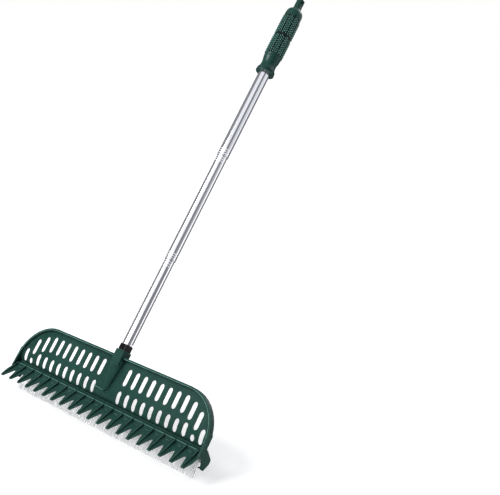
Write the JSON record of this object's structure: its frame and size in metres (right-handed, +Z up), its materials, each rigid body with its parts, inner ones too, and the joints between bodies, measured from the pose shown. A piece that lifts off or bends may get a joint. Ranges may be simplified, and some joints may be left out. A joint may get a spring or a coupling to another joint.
{
  "type": "turf rake",
  "caption": "Wide turf rake with a slotted green comb head, a brush strip along its back edge and a sectional tube handle with a fluted grip.",
  "frame": {"origin": "on the floor under the middle of the bounding box, with the bristle tips on the floor", "axes": "+X along the head to the right seen from the tine side, +Y to the brush side, towards which the handle leans by 35 degrees, +Z up"},
  "size_m": [0.546, 0.6056, 0.8604],
  "materials": {
    "green_plastic": "moulded, satin",
    "black_plastic": "moulded, satin",
    "clear_nylon": "milky",
    "satin_tube": "drawn and anodised, bright",
    "insert_plastic": "moulded",
    "grip_rubber": "soft moulded",
    "screw_steel": "zinc plated"
  },
  "bodies": {
    "head_body": {"head": "green_plastic", "label_plate": "black_plastic", "brush_strip": "clear_nylon", "strip_clip_1": "black_plastic", "strip_clip_2": "black_plastic", "strip_clip_3": "black_plastic", "strip_clip_4": "black_plastic", "strip_clip_5": "black_plastic", "strip_clip_6": "black_plastic", "strip_clip_7": "black_plastic"},
    "lower_section": {"ferrule": "black_plastic", "ferrule_screw": "screw_steel", "tube_lower": "satin_tube", "lower_socket_insert": "insert_plastic"},
    "middle_section": {"middle_stud_insert": "insert_plastic", "tube_middle": "satin_tube", "middle_socket_insert": "insert_plastic"},
    "upper_section": {"upper_stud_insert": "insert_plastic", "tube_upper": "satin_tube", "grip": "grip_rubber", "end_plug": "green_plastic"}
  },
  "joints": [
    {"name": "socket_lift", "type": "slide", "parent": "head_body", "child": "lower_section", "axis": [0, 0.5736, 0.8192], "range_m": [0, 0.032]},
    {"name": "lower_joint_lift", "type": "slide", "parent": "lower_section", "child": "middle_section", "axis": [0, 0.5736, 0.8192], "range_m": [0, 0.028]},
    {"name": "upper_joint_lift", "type": "slide", "parent": "middle_section", "child": "upper_section", "axis": [0, 0.5736, 0.8192], "range_m": [0, 0.028]}
  ]
}
